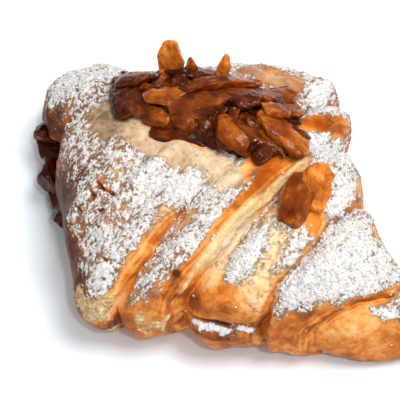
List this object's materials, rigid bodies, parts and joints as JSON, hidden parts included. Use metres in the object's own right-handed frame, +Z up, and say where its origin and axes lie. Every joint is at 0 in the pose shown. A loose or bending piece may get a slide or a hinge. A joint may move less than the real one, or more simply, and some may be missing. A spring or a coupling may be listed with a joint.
{
  "type": "apple cinnamon croissant",
  "caption": "Large filled croissant with lapped turns of dough, a cooked apple filling at one side and a heap of cooked apple on top.",
  "frame": {"origin": "on the plane that the croissant rests on, under the middle of its bounding box", "axes": "+X along the croissant from its left tip to its right tip, +Y to its far side, +Z up"},
  "size_m": [0.162, 0.1196, 0.059],
  "materials": {
    "sugared_crust": "golden baked crust, dusted with white sugar",
    "apple_filling": "dark syrupy cooked apple",
    "cooked_apple": "amber-brown cooked apple, wet with syrup",
    "bright_apple": "lighter amber cooked apple, wet with syrup"
  },
  "bodies": {
    "root": {"croissant": "sugared_crust", "apple_filling": "apple_filling", "apple_heap": "cooked_apple", "apple_piece_dark": "cooked_apple", "apple_piece_bright": "bright_apple"}
  },
  "joints": []
}
